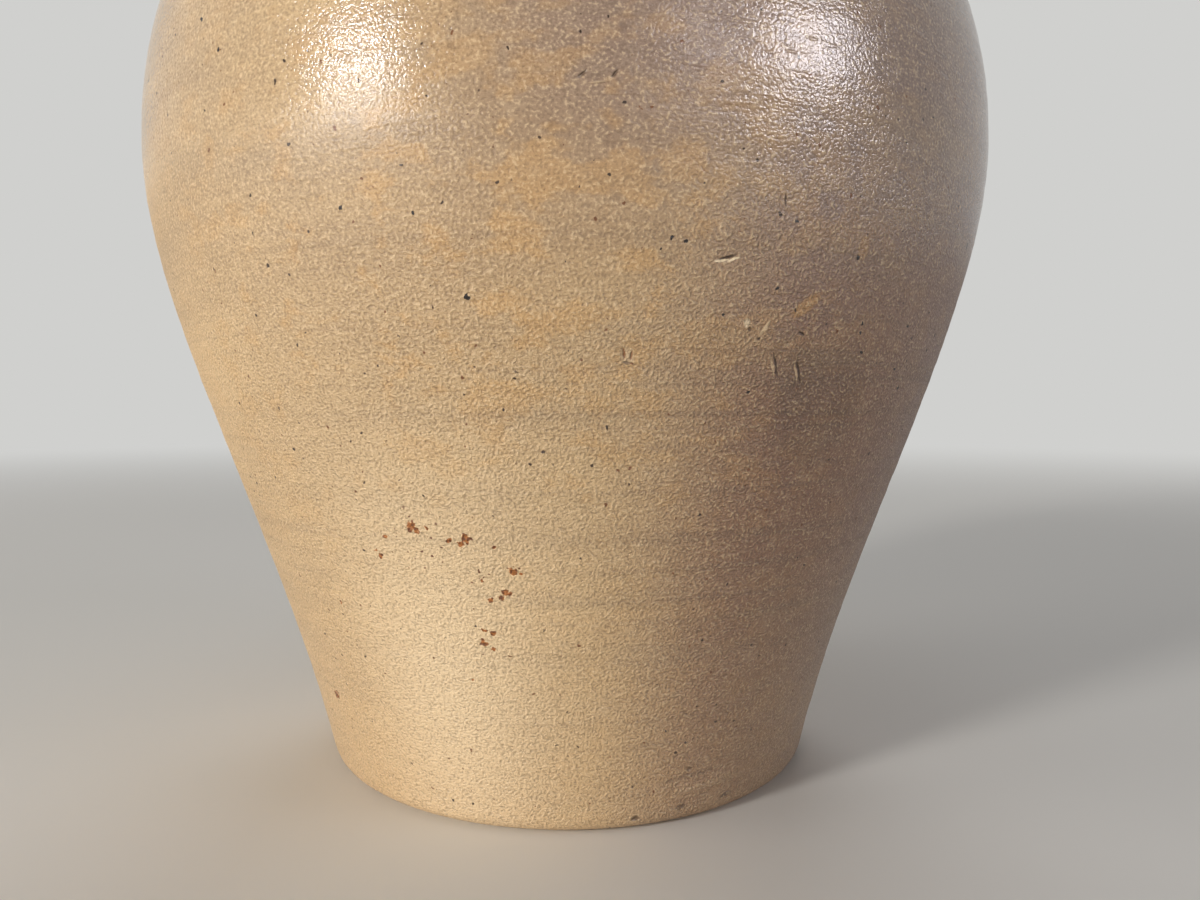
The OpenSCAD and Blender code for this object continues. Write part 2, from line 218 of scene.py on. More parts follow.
camera = bpy.data.objects.new("camera", bpy.data.cameras.new("camera"))
scene.collection.objects.link(camera)
camera.data.sensor_width = SENSOR_WIDTH
camera.data.lens = FOCAL_PIXELS / PICTURE[0] * SENSOR_WIDTH
camera.location = (0, -CAMERA_BACK, CAMERA_UP)
camera.rotation_euler = (math.pi / 2 - CAMERA_TILT, 0, -CAMERA_TURN)
turned_column = PICTURE[0] / 2 - FOCAL_PIXELS * math.tan(CAMERA_TURN)
camera.data.shift_x = (turned_column - AXIS_COLUMN) / PICTURE[0]
camera.data.clip_start = 0.01
scene.camera = camera
print("lens %.1f mm, shift %.4f" % (camera.data.lens, camera.data.shift_x))

# %% [markdown]
# ## Outlines
#
# A thrown pot is a line turned round an axis. The line could be traced as a long row of points, but
# points hide the sizes. Here it is the solid's own line: an arc at the foot, one curve up to the
# belly, one over the shoulder, a hollow into the neck and a rolled rim, then the same way down
# inside. Each curve is a cubic with its directions set at both ends, because a potter's rib draws
# just such lines. Points are pairs of radius and height in millimetres, and stations along the line
# become the rows of the mesh.

# %% Helpers for outlines
def towards(angle):
    return np.array([math.cos(angle), math.sin(angle)])


def arc(centre, radius, start, end, steps=10):
    """Points on an arc, its angles in degrees."""
    turns = np.radians(np.linspace(start, end, steps + 1))
    return np.array(centre) + np.array(radius) * np.stack([np.cos(turns), np.sin(turns)], 1)


def cubic(points, depth=0.0, steps=60):
    """Points on a cubic curve, set in by depth to the left of its heading."""
    a, b, c, d = (np.array(p, float) for p in points)
    t = np.linspace(0, 1, steps + 1)[:, None]
    line = (1 - t) ** 3 * a + 3 * (1 - t) ** 2 * t * b + 3 * (1 - t) * t ** 2 * c + t ** 3 * d
    way = (1 - t) ** 2 * (b - a) + 2 * (1 - t) * t * (c - b) + t ** 2 * (d - c)
    way /= np.linalg.norm(way, axis=1)[:, None]
    return line + depth * np.stack([-way[:, 1], way[:, 0]], 1)


def stations(line, step):
    """Points a step apart along a line of many points, both ends kept."""
    line = np.array(line, float)
    run = np.concatenate([[0], np.cumsum(np.linalg.norm(np.diff(line, axis=0), axis=1))])
    at = np.linspace(0, run[-1], max(2, round(run[-1] / step) + 1))
    return np.stack([np.interp(at, run, line[:, 0]), np.interp(at, run, line[:, 1])], 1)


# the most of a side that the easing of one corner may take
EASED_SHARE = 0.45


def eased(corners, radius, closed=False, steps=4):
    """A line through corners, each eased by a small curve that starts a radius away from it."""
    corners = [np.array(c, float) for c in corners]
    t = np.linspace(0, 1, steps + 1)[:, None]
    line = [] if closed else [corners[0][None]]
    count = len(corners)
    for i in range(0 if closed else 1, count if closed else count - 1):
        before, at, after = corners[i - 1], corners[i], corners[(i + 1) % count]
        back, on = before - at, after - at
        start = at + back * min(EASED_SHARE, radius / np.linalg.norm(back))
        end = at + on * min(EASED_SHARE, radius / np.linalg.norm(on))
        line.append((1 - t) ** 2 * start + 2 * (1 - t) * t * at + t ** 2 * end)
    line.append(line[0][:1] if closed else corners[-1][None])
    return np.concatenate(line)


# %% The jar's sizes
# the foot: radius, rounded edge, how far the wall leans out and how long it keeps that lean
base_r, foot_round, foot_lean, foot_reach = 65, 5, math.radians(12.5), 62
# the belly: radius, height, and how long the wall stays upright below and above it
belly_r, belly_z, belly_below, belly_above = 115, 165, 41, 38
# the shoulder: height over the belly, how far it leans in at the neck and how long it keeps that lean
shoulder_h, shoulder_lean, shoulder_reach = 87, math.radians(58), 30
# the neck: radius, the hollow that leads into it and its height
neck_r, neck_cove, neck_h = 68, 10, 14
# the rim: how far it stands out, its height and its rounding
rim_out, rim_h, rim_round = 7, 14, 4
# the wall, the floor and the curve between them
wall, floor_t, floor_round = 8, 10, 16
neck_z = belly_z + shoulder_h
rim_z = neck_z + neck_h
rim_top = rim_z + rim_h
rim_r = neck_r + rim_out
mouth_r = neck_r - wall
print("jar is", rim_top, "mm high and", 2 * belly_r, "mm across, its mouth", 2 * mouth_r, "mm")

# %% The jar's outline
OUTSIDE_STEP, INSIDE_STEP, BASE_STEP = 1.35, 6, 20
foot_end = np.array([base_r, foot_round]) + foot_round * towards(-foot_lean)
foot_heading = foot_reach * towards(math.pi / 2 - foot_lean)
belly = np.array([belly_r, belly_z])
cove_c = np.array([neck_r + neck_cove, neck_z])
cove_start = cove_c - neck_cove * towards(shoulder_lean)
shoulder_heading = shoulder_reach * towards(shoulder_lean - math.pi / 2)
lower = [foot_end, foot_end + foot_heading, belly - [0, belly_below], belly]
upper = [belly, belly + [0, belly_above], cove_start + shoulder_heading, cove_start]


def side(depth):
    """The wall's line from foot to neck, set in by depth."""
    lean = math.degrees(shoulder_lean)
    cove = arc(cove_c, neck_cove + depth, 180 + lean, 180)
    return np.concatenate([cubic(lower, depth), cubic(upper, depth)[1:], cove[1:]])


outside_line = np.concatenate([
    arc((base_r, foot_round), foot_round, -90, -math.degrees(foot_lean)), side(0)[1:],
    arc((rim_r - rim_round, rim_z + rim_round), rim_round, -90, 0),
    arc((rim_r - rim_round, rim_top - rim_round), rim_round, 0, 90),
    arc((mouth_r + rim_round, rim_top - rim_round), rim_round, 90, 180)])
inner_line = side(wall)
inner_line = inner_line[inner_line[:, 1] > floor_t + floor_round][::-1]
floor_c = (inner_line[-1][0] - floor_round, floor_t + floor_round)
inside_line = np.concatenate([inner_line, arc(floor_c, floor_round, 0, -90)])
jar_line = np.concatenate([
    stations([[0, 0], [base_r, 0]], BASE_STEP)[:-1], stations(outside_line, OUTSIDE_STEP),
    stations(inside_line, INSIDE_STEP)[1:],
    stations([inside_line[-1], [0, floor_t]], BASE_STEP)[1:]])
print("jar line has", len(jar_line), "stations")

# %% [markdown]
# ## Marks in the clay
#
# Handling and firing left marks on this pot: nicks, a popped-out lime grain, a scar where something
# touched the soft clay, a ridge and chips along the foot. They could be sculpted by hand, but a script
# can't repeat that. So each is given by its place on the wall, an angle from the front in degrees and
# a height, then half its width and height in millimetres, how far it is turned, how deep it goes, and
# what colour it leaves: rust, iron and ochre stains and bare clay, and painted shade in and round
# dents. Along nicks, crescents, ridges and scratches the dark lines are partly painted shade on the
# hollow side and the pale ones partly painted light on the raised lip. The field of a mark is 1 in its
# middle and 0 outside an ellipse, and the same formula moves the mesh and colours the glaze.

# %% The marks of this pot
# depth is below 0 for a hollow and above 0 for a raised edge, share is how strong the mark's colour is
Mark = namedtuple("Mark", "angle height half_w half_h turn depth stain share")
# pale clay: bare where chips and the lime grain broke the glaze, and partly painted light on the raised
# lips of nicks, crescents, ridges and scratches
BARE_AND_LIT, CHIPPED_AND_LIT = paint(200, 174, 140), paint(238, 218, 186)
# rust, dark iron and ochre; the dark iron lines along nicks, crescents and scratches are partly painted
# shade on their hollow sides
RUST, IRON_AND_SHADE, OCHRE = paint(138, 90, 50), paint(70, 50, 38), paint(184, 142, 90)
# painted shade for dents, and a broader, darker painted shade over part of the right side of the belly
PAINTED_SHADE, BROAD_PAINTED_SHADE = paint(112, 92, 76), paint(84, 64, 54)

MARKS = [
    Mark(2.6, 158.6, 3.4, 1.1, 4, -0.15, PAINTED_SHADE, 0.25),
    Mark(1.2, 158.9, 1.3, 0.4, 40, -0.35, IRON_AND_SHADE, 0.6),
    Mark(4.1, 159.2, 1.2, 0.4, 50, -0.35, IRON_AND_SHADE, 0.5),
    Mark(2.6, 157.7, 2.6, 0.4, 6, 0.25, BARE_AND_LIT, 0.5),
    Mark(15.2, 133.5, 2.2, 4.6, 20, 0.35, BARE_AND_LIT, 0.15),
    Mark(15.8, 129.0, 2.9, 0.36, 13, -0.35, IRON_AND_SHADE, 0.9),
    Mark(15.2, 128.4, 2.4, 0.42, 6, 0.30, CHIPPED_AND_LIT, 1.0),
    Mark(16.5, 128.7, 2.0, 0.38, 20, 0.30, CHIPPED_AND_LIT, 1.0),
    Mark(9.6, 128.6, 2.6, 1.6, -20, -0.25, PAINTED_SHADE, 0.3),
    Mark(21.4, 139.8, 0.3, 1.9, 8, -0.25, IRON_AND_SHADE, 0.6),
    Mark(19.0, 117.2, 1.2, 1.3, 0, 0.50, CHIPPED_AND_LIT, 0.7),
    Mark(19.5, 116.1, 0.7, 0.4, -30, -0.20, IRON_AND_SHADE, 0.6),
    Mark(21.3, 116.4, 0.65, 2.9, -32, 0.50, BARE_AND_LIT, 1.0),
    Mark(20.8, 114.4, 0.5, 0.35, 20, -0.30, IRON_AND_SHADE, 0.8),
    Mark(24.6, 113.6, 1.6, 4.2, -40, -0.40, PAINTED_SHADE, 0.3),
    Mark(26.3, 115.6, 1.4, 0.4, -30, -0.30, IRON_AND_SHADE, 0.9),
    Mark(26.1, 121.0, 2.2, 6.2, -53, 0.0, OCHRE, 0.65),
    Mark(32.5, 132.8, 2.6, 4.0, 0, 0.0, OCHRE, 0.4),
    # a broad painted shade over part of the right side of the belly
    Mark(32.0, 101.0, 21.0, 20.0, 0, 0.0, BROAD_PAINTED_SHADE, 0.3),
    Mark(28.0, 107.0, 11.0, 11.0, 0, -0.30, PAINTED_SHADE, 0.3),
    Mark(23.7, 109.3, 0.35, 3.8, 24, -0.50, IRON_AND_SHADE, 0.7),
    Mark(23.3, 108.8, 0.45, 3.4, 24, 0.40, BARE_AND_LIT, 0.8),
    Mark(27.2, 108.2, 0.35, 4.3, 24, -0.50, IRON_AND_SHADE, 0.7),
    Mark(26.8, 107.8, 0.45, 3.6, 24, 0.40, BARE_AND_LIT, 0.8),
    Mark(24.8, 113.4, 1.8, 0.5, 35, 0.35, BARE_AND_LIT, 0.4),
    Mark(6.2, 110.6, 2.2, 2.5, 0, -0.30, BARE_AND_LIT, 0.8),
    Mark(5.8, 111.2, 0.5, 1.6, 10, -0.15, RUST, 0.9),
    Mark(6.6, 110.8, 0.4, 1.4, -8, -0.15, RUST, 0.8),
    Mark(6.2, 109.4, 1.3, 0.4, -5, -0.15, PAINTED_SHADE, 0.7),
    Mark(28.0, 9.5, 17.0, 1.6, 3, 0.45, BARE_AND_LIT, 0.25),
    Mark(24.0, 12.8, 13.0, 1.2, 5, -0.30, PAINTED_SHADE, 0.35),
    Mark(22.5, 4.6, 2.4, 1.1, 8, -0.50, IRON_AND_SHADE, 0.7),
    Mark(13.0, 3.4, 1.6, 0.9, 0, -0.50, IRON_AND_SHADE, 0.7),
    Mark(33.5, 4.8, 3.0, 1.0, 10, -0.40, IRON_AND_SHADE, 0.7),
    Mark(23.4, 14.7, 1.4, 0.8, -20, -0.25, PAINTED_SHADE, 0.6),
    Mark(-44.0, 97.0, 12.0, 9.0, 0, -0.40, PAINTED_SHADE, 0.0),
    Mark(150.0, 120.0, 14.0, 11.0, 0, -0.50, PAINTED_SHADE, 0.1),
    Mark(-128.0, 84.0, 3.4, 1.2, 15, -0.35, RUST, 0.5),
    Mark(100.0, 150.0, 2.6, 1.4, -20, -0.30, PAINTED_SHADE, 0.5),
]
print(len(MARKS), "marks, the deepest", max(-mark.depth for mark in MARKS), "mm")


# %% The field of a mark
def wall_radius(height):
    """The outer radius of the wall at a height."""
    line = side(0)
    return float(np.interp(height, line[:, 1], line[:, 0]))


def wall_point(angle, height):
    """The point on the wall at an angle from the front in degrees and a height, in metres."""
    turn = math.radians(angle)
    out = wall_radius(height)
    return Vector((out * math.sin(turn), -out * math.cos(turn), height)) * MM


def mark_field(graph, place, mark):
    """1 in the middle of a mark, falling smoothly to 0 at its edge."""
    away = graph.vector("SUBTRACT", place, wall_point(mark.angle, mark.height))
    turns = (0, -math.radians(mark.turn), math.radians(mark.angle))
    inputs = {"Vector": away, "Rotation": turns}
    flat = graph.add("ShaderNodeVectorRotate", inputs, rotation_type="EULER_XYZ", invert=True)
    deep = 2 * max(mark.half_w, mark.half_h, 2)
    reach = Vector((mark.half_w, deep, mark.half_h)) * MM
    return graph.length(graph.vector("DIVIDE", flat, reach)).ramp(1.0, 0.0)


# %% [markdown]
# ## Thrown forms
#
# The pot, the lid's dome, its knob and the turned rings all come off a wheel or lathe. A Screw modifier
# could turn their outlines, but only to perfect rounds. One Geometry Nodes tree does it here, because
# it can also push the wall about: a grid is rolled round the axis, each row taking its radius and
# height from a station of the outline, and the jar's columns crowd together towards the front, where
# most marks are. Then slow wobble, the rings that the potter's fingers leave, and the marks move the
# wall along its normals.

# %% Helpers for trees
def begin_tree(name, **inputs):
    """A new geometry tree with inputs named under their kinds: its graph and the inputs as values."""
    tree = bpy.data.node_groups.new(name, "GeometryNodeTree")
    graph = Graph(tree)
    for kind, labels in inputs.items():
        for label in labels:
            tree.interface.new_socket(label, in_out="INPUT", socket_type="NodeSocket" + kind)
    tree.interface.new_socket("Mesh", in_out="OUTPUT", socket_type="NodeSocketGeometry")
    entry = tree.nodes.new("NodeGroupInput")
    return graph, {socket.name: Value(graph, socket) for socket in entry.outputs}


def end_tree(graph, form, finish):
    """Closes a tree: smooth shading, real mesh, material, output."""
    form = graph.add("GeometryNodeSetShadeSmooth", {0: form, "Shade Smooth": True})
    form = graph.add("GeometryNodeRealizeInstances", {0: form})
    form = graph.add("GeometryNodeSetMaterial", {"Geometry": form, "Material": finish})
    leave = graph.tree.nodes.new("NodeGroupOutput")
    graph.put(leave.inputs[0], form)
    return graph.tree


def link_object(name, data):
    made = bpy.data.objects.new(name, data)
    scene.collection.objects.link(made)
    return made


def plain_mesh(holder, name):
    """The mesh that an object's modifiers make, as a new object, in place of that object."""
    depsgraph = bpy.context.evaluated_depsgraph_get()
    evaluated = holder.evaluated_get(depsgraph)
    mesh = bpy.data.meshes.new_from_object(evaluated, depsgraph=depsgraph)
    bpy.data.objects.remove(holder)
    mesh.name = name
    print(name, len(mesh.polygons), "faces")
    return link_object(name, mesh)


def run_tree(name, tree, values):
    """The mesh that a tree makes with these inputs, as a plain object at the origin."""
    holder = link_object(name + "_holder", bpy.data.meshes.new(name + "_holder"))
    modifier = holder.modifiers.new("form", "NODES")
    modifier.node_group = tree
    for item in tree.interface.items_tree:
        if item.in_out == "INPUT":
            modifier[item.identifier] = values[item.name]
    return plain_mesh(holder, name)


# %% The tree of thrown forms
THROWN_INPUTS = {
    "Object": ["Stations"], "Int": ["Rows", "Columns"], "Material": ["Finish"],
    "Float": ["Front bias", "Wobble", "Ring depth", "Ring pitch", "Low end", "High end", "Seed"]}
SOFT_END = 6 * MM
MERGE = 0.005 * MM
WOBBLE_SCALE = 9.0
RING_DRIFT = 4.0


def rolled_grid(graph, given):
    """A grid rolled round the axis, its rows at the stations, its seam and poles merged."""
    sides = {"Size X": 1.0, "Size Y": 1.0,
             "Vertices X": given["Columns"] + 1, "Vertices Y": given["Rows"]}
    grid = graph.add("GeometryNodeMeshGrid", sides)
    across, up = graph.split(graph.add("GeometryNodeInputPosition"))[:2]
    row = ((up + 0.5) * (given["Rows"] - 1)).math("ROUND")
    outline = graph.add("GeometryNodeObjectInfo", {"Object": given["Stations"]}, "Geometry")
    sample = {"Geometry": outline, "Value": graph.add("GeometryNodeInputPosition"), "Index": row}
    station = graph.add("GeometryNodeSampleIndex", sample, data_type="FLOAT_VECTOR")
    radius, height = graph.split(station)[::2]
    turn = across * math.tau
    angle = turn - given["Front bias"] * turn.math("SINE")
    rolled = graph.join(radius * angle.math("SINE"), -(radius * angle.math("COSINE")), height)
    form = graph.add("GeometryNodeSetPosition", {"Geometry": grid, "Position": rolled})
    return graph.add("GeometryNodeMergeByDistance", {"Geometry": form, "Distance": MERGE})


def thrown_tree(name, marks):
    graph, given = begin_tree(name, **THROWN_INPUTS)
    form = rolled_grid(graph, given)
    place = graph.add("GeometryNodeInputPosition")
    x, y, z = graph.split(place)
    seeded = graph.vector("ADD", place, graph.join(given["Seed"], 0.0, 0.0))
    wobble = (graph.noise(seeded, WOBBLE_SCALE, 1.0) - 0.5) * given["Wobble"]
    level = z / given["Ring pitch"] + given["Seed"]
    ring_place = graph.join(x * RING_DRIFT, y * RING_DRIFT, level)
    push = wobble + (graph.noise(ring_place, 1.0, 1.5) - 0.5) * given["Ring depth"]
    for mark in marks:
        push = push + mark_field(graph, place, mark) * (mark.depth * MM)
    fade = z.ramp(given["Low end"], given["Low end"] + SOFT_END)
    fade = fade * z.ramp(given["High end"], given["High end"] - SOFT_END)
    offset = graph.scaled(graph.add("GeometryNodeInputNormal"), push * fade)
    form = graph.add("GeometryNodeSetPosition", {"Geometry": form, "Offset": offset})
    return end_tree(graph, form, given["Finish"])


# %% Pieces of thrown form
NO_END = 1e4


def thrown(name, line, finish, marks=(), columns=160, bias=0.0, wobble=0.0, rings=0.0, pitch=3.0,
           low=-NO_END, high=NO_END, seed=0.0):
    """A piece turned from an outline in millimetres, uneven between its low and high ends."""
    mesh = bpy.data.meshes.new(name + "_stations")
    mesh.from_pydata([(r * MM, 0, z * MM) for r, z in line], [], [])
    points = link_object(name + "_stations", mesh)
    values = {"Stations": points, "Rows": len(line), "Columns": columns, "Front bias": bias,
              "Wobble": wobble * MM, "Ring depth": rings * MM, "Ring pitch": pitch * MM,
              "Low end": low * MM, "High end": high * MM, "Seed": seed, "Finish": finish}
    piece = run_tree(name, thrown_tree(name + "_form", marks), values)
    bpy.data.objects.remove(points)
    return piece


def stand_for(piece, node):
    """The piece rides on the node's body and is shown in place of the node, which is hidden."""
    record = frame["record"]
    bodies = record["behaviour"]["bodies"]
    body = next(name for name, members in bodies.items() if node in members)
    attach(piece, body)
    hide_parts(node)
    return piece


# %% [markdown]
# ## Salt glaze
#
# The glaze is a thin glassy coat on buff clay. Its colour drifts from tan to ochre in clouds that were
# drawn out round the pot, with faint throwing lines, and the foot is paler. The right side is painted a
# darker purplish grey, which is painted shade and a purplish painted light from that side, and a soft
# pale patch low at the front left is a painted sheen. Iron in the clay shows as dark specks, and rust
# stained a few pits. The coat shrinks into beads less than a millimetre across, with painted shade in
# their hollows and painted light on their tops. Above the belly it is glossy, so highlights break up
# into sparkles there, and below it is dull. All this could be painted on a picture, but a picture has
# a seam and a fixed sharpness. Noises that are worked out from the place on the pot have neither.

# %% Specks and flecks that the pot carries
# angle from the front in degrees, height and radius in millimetres
SPECKS = [(-22.4, 138.2, 0.5), (-14.8, 136.6, 0.45), (-10.1, 121.4, 0.6), (11.3, 131.5, 0.6),
          (9.9, 132.0, 0.45), (8.9, 130.0, 0.4), (21.9, 123.9, 0.6), (23.0, 136.1, 0.5),
          (35.3, 117.9, 0.5), (35.3, 116.2, 0.5), (36.5, 112.2, 0.5), (45.1, 118.4, 0.5),
          (16.2, 118.4, 0.4), (31.9, 130.9, 0.6), (48.1, 104.9, 0.6), (-40.2, 178.8, 0.6),
          (-36.6, 171.0, 0.5), (58.6, 138.9, 0.8), (45.2, 109.0, 0.5), (20.7, 103.9, 0.4)]
FLECKS = [(-21.2, 75.8, 1.2), (-20.5, 74.9, 0.7), (-19.0, 75.5, 0.5), (-25.7, 73.1, 0.6),
          (-27.9, 69.6, 0.4), (-27.3, 68.3, 0.7), (-23.1, 66.0, 0.4), (-16.1, 73.0, 0.5),
          (-13.6, 73.4, 1.0), (-14.4, 72.3, 0.8), (-9.9, 71.8, 0.4), (-7.6, 66.5, 0.9),
          (-6.5, 66.1, 0.6), (-12.1, 64.1, 0.4), (-8.8, 61.4, 0.9), (-9.5, 60.2, 0.6),
          (-11.2, 59.6, 0.7), (-12.7, 52.4, 0.5), (-11.3, 51.6, 0.6), (-12.9, 49.3, 0.8),
          (-11.6, 47.9, 0.6), (-15.5, 39.8, 0.4), (-39.0, 54.8, 0.5), (-51.7, 26.8, 1.3)]
# zones with fine rusty grit round the flecks
GRIT = [(-12.5, 62.0, 8.0), (-12.3, 50.0, 6.0), (-21.0, 73.0, 11.0)]


def spots(graph, place, spots_at, spread):
    """1 in the middle of any of the round spots, falling to 0 at spread times their radius."""
    field = None
    for angle, height, radius in spots_at:
        away = graph.length(graph.vector("SUBTRACT", place, wall_point(angle, height)))
        spot = away.ramp(spread * radius * MM, 0.0)
        field = spot if field is None else field.math("MAXIMUM", spot)
    return field


print(len(SPECKS), "specks,", len(FLECKS), "flecks,", len(GRIT), "zones of grit")

# %% Fields that the glaze follows
# noises on the pot: blotches per metre, detail, roughness, and how flat the blotches are drawn
NOISES = {
    "clouds": (16, 4.0, 0.55, 2.2), "patches": (105, 3.0, 0.6, 1.5), "mottle": (240, 3.0, 0.6, 1),
    "streaks": (9, 3.0, 0.6, 12), "lines": (6, 2.0, 0.6, 90), "fine_lines": (6, 2.0, 0.6, 150),
    "ribs": (110, 2.0, 0.5, 5), "peel": (1550, 1.5, 0.5, 1.15), "pits": (2600, 1.0, 0.5, 1),
    "grain": (1300, 2.0, 0.5, 1)}
# how ragged the edges of marks and of spots are
TEAR_SCALE, FRAY, TEAR = 700, 0.5 * MM, 1.5 * MM


def glaze_fields(glaze):
    """The noises, and where a place lies: its height, its angle from the front, its side of the pot."""
    place = glaze.place
    at = SimpleNamespace(place=place)
    for name, (scale, detail, roughness, flat) in NOISES.items():
        setattr(at, name, glaze.noise(place, scale, detail, roughness, (1, 1, flat)))
    ragged = glaze.noise(place, TEAR_SCALE, 2.0, output=1)
    ragged = glaze.vector("SUBTRACT", ragged, (0.5, 0.5, 0.5))
    at.frayed = glaze.vector("ADD", place, glaze.scaled(ragged, FRAY))
    at.torn = glaze.vector("ADD", place, glaze.scaled(ragged, TEAR))
    x, y, at.z = glaze.split(place)
    at.angle = x.math("ARCTAN2", -y)
    at.off_axis = glaze.length(glaze.join(x, y, 0.0)).ramp(0.01, 0.06)
    at.front = at.angle.ramp(2.8, 1.6) * at.off_axis
    at.right = at.angle.ramp(0.0, 0.5) * at.front
    at.low = at.z.ramp(0.155, 0.1)
    return at


# %% The drifting colour
TAN_DEEP, TAN_PALE = paint(174, 149, 116), paint(197, 169, 129)
TAN_LOW, TAN_BELLY = paint(218, 187, 142), paint(160, 131, 97)
# greys for a cloud on the upper belly and for painted shade on the right side; the third is a purplish
# tint that paints the light falling on that side
GREY_AND_SHADE_LOW, GREY_AND_SHADE_HIGH, PAINTED_SIDE_LIGHT = paint(128, 93, 77), paint(135, 114, 107), paint(130, 108, 106)
OCHRE_CLOUD, STREAK, LINE = paint(196, 155, 101), paint(150, 130, 106), paint(112, 90, 76)
# the middle colour is a painted sheen, the other two the glaze's own
MOTTLE, PAINTED_SHEEN, FOOT = paint(214, 192, 162), paint(240, 218, 182), paint(222, 190, 150)


def drifting_colour(glaze, at):
    """The coat's colour, with painted shade and painted light on the right side and a painted sheen low
    at the front left. Heights are in metres and angles in radians from the front.
    """
    z, angle = at.z, at.angle
    smoke = angle.ramp(-0.4, 0.1) * angle.ramp(1.2, 0.3) * z.ramp(0.115, 0.165) * at.off_axis
    # grey marks the right side, whose darker purplish colour is painted shade and painted light from
    # that side; the grey cloud over the upper belly (smoke) is the glaze's own
    grey = angle.ramp(0.0, 0.48) * at.front
    grey_and_shade = glaze.mix(z.ramp(0.1, 0.15), GREY_AND_SHADE_LOW, GREY_AND_SHADE_HIGH)
    grey_and_shade = glaze.mix(angle.near(1.1, 0.5), grey_and_shade, PAINTED_SIDE_LIGHT)
    belly_front = angle.near(-0.08, 0.6) * z.near(0.132, 0.055)
    warm = angle.near(-0.2, 1.0) * z.near(0.125, 0.085)
    ochre = (at.patches * 0.6 + at.clouds * 0.25 + at.streaks * 0.15).ramp(0.49, 0.57)
    # where the painted sheen lies: low at the front left
    painted_sheen = angle.near(-0.35, 0.45) * z.near(0.035, 0.08)
    tan = glaze.mix(at.clouds.ramp(0.3, 0.7), TAN_DEEP, TAN_PALE)
    return glaze.coated(tan, [
        (at.low * 0.42, TAN_LOW),
        # painted shade and painted light on the right side, and the glaze's own grey cloud on the upper
        # belly
        ((grey * 0.9).math("MAXIMUM", smoke * 0.85), grey_and_shade),
        (belly_front * 0.45, TAN_BELLY),
        (ochre * (0.1 + warm * 0.5), OCHRE_CLOUD),
        (at.streaks.ramp(0.5, 0.75) * 0.3, STREAK),
        (at.lines.ramp(0.5, 0.75) * (0.16 + at.low * at.right * 0.3), LINE),
        (at.mottle.ramp(0.45, 0.8) * 0.15, MOTTLE),
        (painted_sheen * 0.75, PAINTED_SHEEN),
        (z.ramp(0.09, 0.0) * 0.25, FOOT)])


# %% Stains, bare clay, painted light and painted shade of the marks
# marks narrower than this, in millimetres, are too fine for the mesh, so the glaze's bump shows them
FINE_MARK = 1.0


def stained_and_shaded(glaze, at, colour):
    """The colour with the marks' stains, bare clay and painted light and shade, the relief of the fine
    marks, and 1 where there are none.
    """
    relief, calm = 0.0, 1.0
    for mark in MARKS:
        field = mark_field(glaze, at.frayed, mark)
        colour = glaze.mix(field.ramp(0.1, 0.6) * mark.share, colour, mark.stain)
        if min(mark.half_w, mark.half_h) < FINE_MARK:
            relief = field * mark.depth + relief
            calm = (1 - field * 0.8) * calm
    return colour, relief, calm


# %% Peel and specks
# colours that paint shade into the hollows of the peel and light onto its bead tops, and the colour of
# the pits
PEEL_PAINTED_SHADE, PEEL_PAINTED_LIGHT, PIT = paint(98, 76, 58), paint(232, 206, 168), paint(86, 64, 48)
SPECK_IRON, SPECK_RUST, SPECK_DARK = paint(44, 27, 18), paint(112, 68, 36), paint(26, 16, 12)
FLECK_PALE, FLECK_DARK, CRUMB = paint(168, 106, 52), paint(100, 58, 30), paint(96, 52, 28)
SPECK_CELLS, CRUMB_CELLS = 400, 900


def peel_coats(at, calm):
    """Painted shade in the peel's hollows, dark pits, and painted light on the peel's bead tops."""
    return [(at.peel.ramp(0.5, 0.3) * 0.36 * calm, PEEL_PAINTED_SHADE),
            (at.pits.ramp(0.62, 0.72) * 0.24 * calm, PIT),
            (at.peel.ramp(0.52, 0.72) * 0.45 * calm, PEEL_PAINTED_LIGHT)]


def speck_coats(glaze, at):
    """Specks all over, grit round the flecks, then the flecks and the specks that this pot has."""
    away, size, rusty = glaze.cells(at.torn, SPECK_CELLS)
    size = size.ramp(0.5, 1.0)
    anywhere = (away - size * 0.16).ramp(0.03, -0.03) * size.ramp(0.0, 0.1)
    iron = glaze.mix(rusty.ramp(0.5, 0.6), SPECK_IRON, SPECK_RUST)
    away, pick = glaze.cells(at.torn, CRUMB_CELLS)[:2]
    pick = pick.ramp(0.7, 1.0)
    crumb = (away - pick * 0.3).ramp(0.06, -0.06) * pick.ramp(0.0, 0.1)
    crumb = crumb * spots(glaze, at.place, GRIT, 1.0).ramp(0.0, 0.4)
    fleck = (spots(glaze, at.torn, FLECKS, 1.9) + (at.grain - 0.5) * 1.8).ramp(0.4, 0.55)
    rust = glaze.mix(at.grain.ramp(0.45, 0.65), FLECK_PALE, FLECK_DARK)
    speck = (spots(glaze, at.torn, SPECKS, 1.8) + (at.grain - 0.5) * 0.6).ramp(0.5, 0.62)
    return [(anywhere * 0.95, iron), (crumb, CRUMB), (fleck, rust), (speck, SPECK_DARK)]


# %% The glaze's relief and gloss
GLAZE_IOR = 1.6


def glaze_relief(at, scars, calm):
    """The coat's height in millimetres: peel, throwing lines, ribs and fine marks."""
    depth = (0.13 + at.low * 0.52 + at.right * at.z.ramp(0.165, 0.13) * 0.45) * calm
    ribs = at.ribs.ramp(0.56, 0.72) * at.z.ramp(0.12, 0.15)
    thrown_lines = at.lines * 0.05 + at.fine_lines * at.low * 0.08 + ribs * 0.07
    return at.peel * depth + thrown_lines + at.mottle * 0.06 + scars


